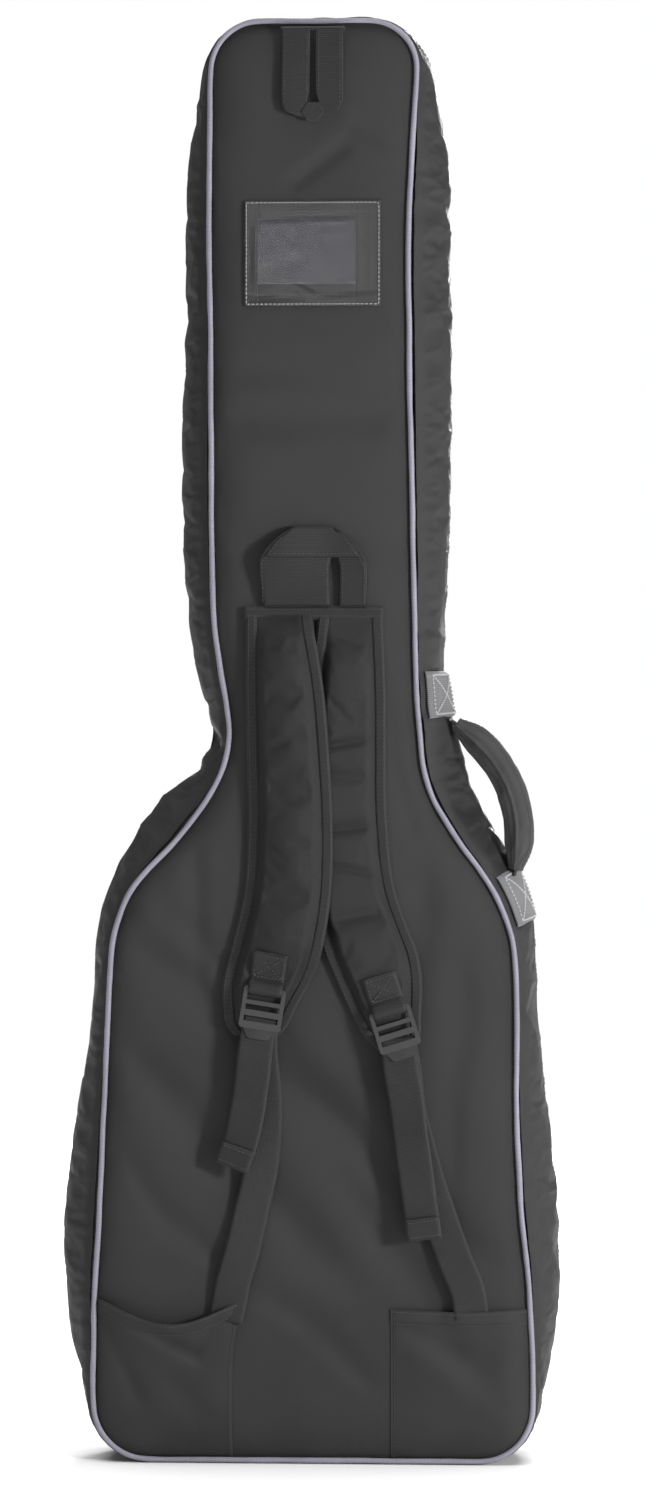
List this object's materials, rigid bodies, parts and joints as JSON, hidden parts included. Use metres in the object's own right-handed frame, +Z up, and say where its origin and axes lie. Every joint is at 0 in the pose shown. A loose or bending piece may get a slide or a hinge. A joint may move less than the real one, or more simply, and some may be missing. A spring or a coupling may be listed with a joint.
{
  "type": "padded gig bag",
  "caption": "Padded electric bass gig bag: guitar-shaped soft case with piped edges, zipped lid, two padded shoulder straps with ladder locks, side and grab handles.",
  "frame": {"origin": "middle of the flat base, on the surface the bag stands on", "axes": "+Z up to the headstock end, -Y out of the back with the shoulder straps, +Y out of the lid with the pockets, +X towards the side with the carry handle"},
  "size_m": [0.4099, 0.1604, 1.2],
  "materials": {
    "panel_fabric": "woven nylon",
    "side_fabric": "woven nylon",
    "foam": "foam",
    "lining": "short plush",
    "piping": "satin",
    "zip_tape": "woven",
    "zip_coil": "satin",
    "zip_metal": "satin",
    "clear_vinyl": "gloss",
    "black_webbing": "ribbed webbing",
    "grey_webbing": "ribbed webbing",
    "grip": "woven",
    "binding": "woven tape",
    "lock_plastic": "semi gloss"
  },
  "bodies": {
    "case": {"back_panel": "panel_fabric", "back_foam": "foam", "back_lining": "lining", "gusset_shell": "side_fabric", "gusset_foam": "foam", "gusset_lining": "lining", "back_piping": "piping", "zip_tape_base": "zip_tape", "zip_coil_base": "zip_coil", "hinge_strip": "side_fabric", "id_pocket_frame": "side_fabric", "id_window": "clear_vinyl", "handle_tab_upper": "grey_webbing", "handle_tab_lower": "grey_webbing", "corner_pocket_left": "side_fabric", "corner_pocket_right": "side_fabric", "lower_web_left": "black_webbing", "lower_web_right": "black_webbing", "strap_seam_tape": "black_webbing", "neck_cradle": "foam", "tail_bumper": "foam"},
    "lid": {"front_panel": "panel_fabric", "front_foam": "foam", "front_lining": "lining", "lid_gusset_shell": "side_fabric", "lid_gusset_lining": "lining", "front_piping": "piping", "zip_tape_lid": "zip_tape", "zip_coil_lid": "zip_coil", "body_pocket_gusset": "side_fabric", "body_pocket_panel": "panel_fabric", "body_pocket_zip": "zip_tape", "neck_pocket_panel": "panel_fabric", "neck_pocket_zip": "zip_tape"},
    "zip_slider_upper": {"zip_slider_upper": "zip_metal"},
    "zip_pull_upper": {"zip_pull_upper": "zip_metal"},
    "zip_slider_lower": {"zip_slider_lower": "zip_metal"},
    "zip_pull_lower": {"zip_pull_lower": "zip_metal"},
    "body_pocket_slider": {"body_pocket_slider": "zip_metal"},
    "body_pocket_pull": {"body_pocket_pull": "zip_metal"},
    "neck_pocket_slider": {"neck_pocket_slider": "zip_metal"},
    "neck_pocket_pull": {"neck_pocket_pull": "zip_metal"},
    "side_handle": {"side_handle_grip": "grip", "side_handle_webbing": "black_webbing"},
    "grab_handle": {"grab_handle": "black_webbing"},
    "hang_loop": {"hang_loop": "black_webbing"},
    "strap_left": {"strap_pad_left": "panel_fabric", "strap_binding_left": "binding", "strap_tab_left": "black_webbing"},
    "strap_right": {"strap_pad_right": "panel_fabric", "strap_binding_right": "binding", "strap_tab_right": "black_webbing"},
    "ladder_lock_left": {"ladder_lock_left": "lock_plastic"},
    "ladder_lock_right": {"ladder_lock_right": "lock_plastic"},
    "web_tail_left": {"web_tail_left": "black_webbing"},
    "web_tail_right": {"web_tail_right": "black_webbing"}
  },
  "joints": [
    {"name": "lid_open", "type": "hinge", "parent": "case", "child": "lid", "pos_m": [0.2065, 0.022, 0.226], "axis": [0, 0, -1], "range_deg": [0, 170]},
    {"name": "zip_upper_slide", "type": "slide", "parent": "case", "child": "zip_slider_upper", "axis": [0.0187, 0, 0.9998], "range_m": [0, 0.124]},
    {"name": "zip_upper_pull", "type": "hinge", "parent": "zip_slider_upper", "child": "zip_pull_upper", "pos_m": [-0.10994, 0.022, 0.91202], "axis": [0, 1, 0], "range_deg": [0, 160]},
    {"name": "zip_lower_slide", "type": "slide", "parent": "case", "child": "zip_slider_lower", "axis": [-0.0043, 0, -1], "range_m": [0, 0.084]},
    {"name": "zip_lower_pull", "type": "hinge", "parent": "zip_slider_lower", "child": "zip_pull_lower", "pos_m": [-0.11087, 0.022, 0.86798], "axis": [0, 1, 0], "range_deg": [0, 160]},
    {"name": "body_pocket_slide", "type": "slide", "parent": "lid", "child": "body_pocket_slider", "axis": [1, 0, 0], "range_m": [0, 0.195]},
    {"name": "body_pocket_pull_tilt", "type": "hinge", "parent": "body_pocket_slider", "child": "body_pocket_pull", "pos_m": [-0.096, 0.0673, 0.3983], "axis": [0, 1, 0], "range_deg": [0, 160]},
    {"name": "neck_pocket_slide", "type": "slide", "parent": "lid", "child": "neck_pocket_slider", "axis": [0, 0, -1], "range_m": [0, 0.3]},
    {"name": "neck_pocket_pull_tilt", "type": "hinge", "parent": "neck_pocket_slider", "child": "neck_pocket_pull", "pos_m": [0.046, 0.0683, 1.05], "axis": [1, 0, 0], "range_deg": [0, 160]},
    {"name": "side_handle_swing", "type": "hinge", "parent": "case", "child": "side_handle", "pos_m": [0.116, -0.024, 0.616], "axis": [0.3771, 0, -0.9262], "range_deg": [-20, 20]},
    {"name": "grab_handle_lift", "type": "hinge", "parent": "case", "child": "grab_handle", "pos_m": [0.002, -0.0576, 0.7115], "axis": [1, 0, 0], "range_deg": [0, 85]},
    {"name": "hang_loop_lift", "type": "hinge", "parent": "case", "child": "hang_loop", "pos_m": [0.001, -0.0576, 1.1905], "axis": [-1, 0, 0], "range_deg": [0, 170]},
    {"name": "strap_left_swing", "type": "hinge", "parent": "case", "child": "strap_left", "pos_m": [0, -0.0576, 0.7055], "axis": [-1, 0, 0], "range_deg": [0, 30]},
    {"name": "strap_right_swing", "type": "hinge", "parent": "case", "child": "strap_right", "pos_m": [0, -0.0576, 0.7055], "axis": [-1, 0, 0], "range_deg": [0, 30]},
    {"name": "ladder_lock_left_tilt", "type": "hinge", "parent": "strap_left", "child": "ladder_lock_left", "pos_m": [-0.03708, -0.0714, 0.39551], "axis": [-0.9877, 0, 0.1564], "range_deg": [0, 30]},
    {"name": "ladder_lock_right_tilt", "type": "hinge", "parent": "strap_right", "child": "ladder_lock_right", "pos_m": [0.06515, -0.0714, 0.37852], "axis": [-0.9563, 0, -0.2924], "range_deg": [0, 30]},
    {"name": "web_tail_left_swing", "type": "hinge", "parent": "ladder_lock_left", "child": "web_tail_left", "pos_m": [-0.045, -0.0716, 0.349], "axis": [-1, 0, 0], "range_deg": [0, 45]},
    {"name": "web_tail_right_swing", "type": "hinge", "parent": "ladder_lock_right", "child": "web_tail_right", "pos_m": [0.0745, -0.0716, 0.332], "axis": [-1, 0, 0], "range_deg": [0, 45]}
  ],
  "couplings": [
    {"joint": "strap_right_swing", "follows": "strap_left_swing", "ratio": 1}
  ]
}
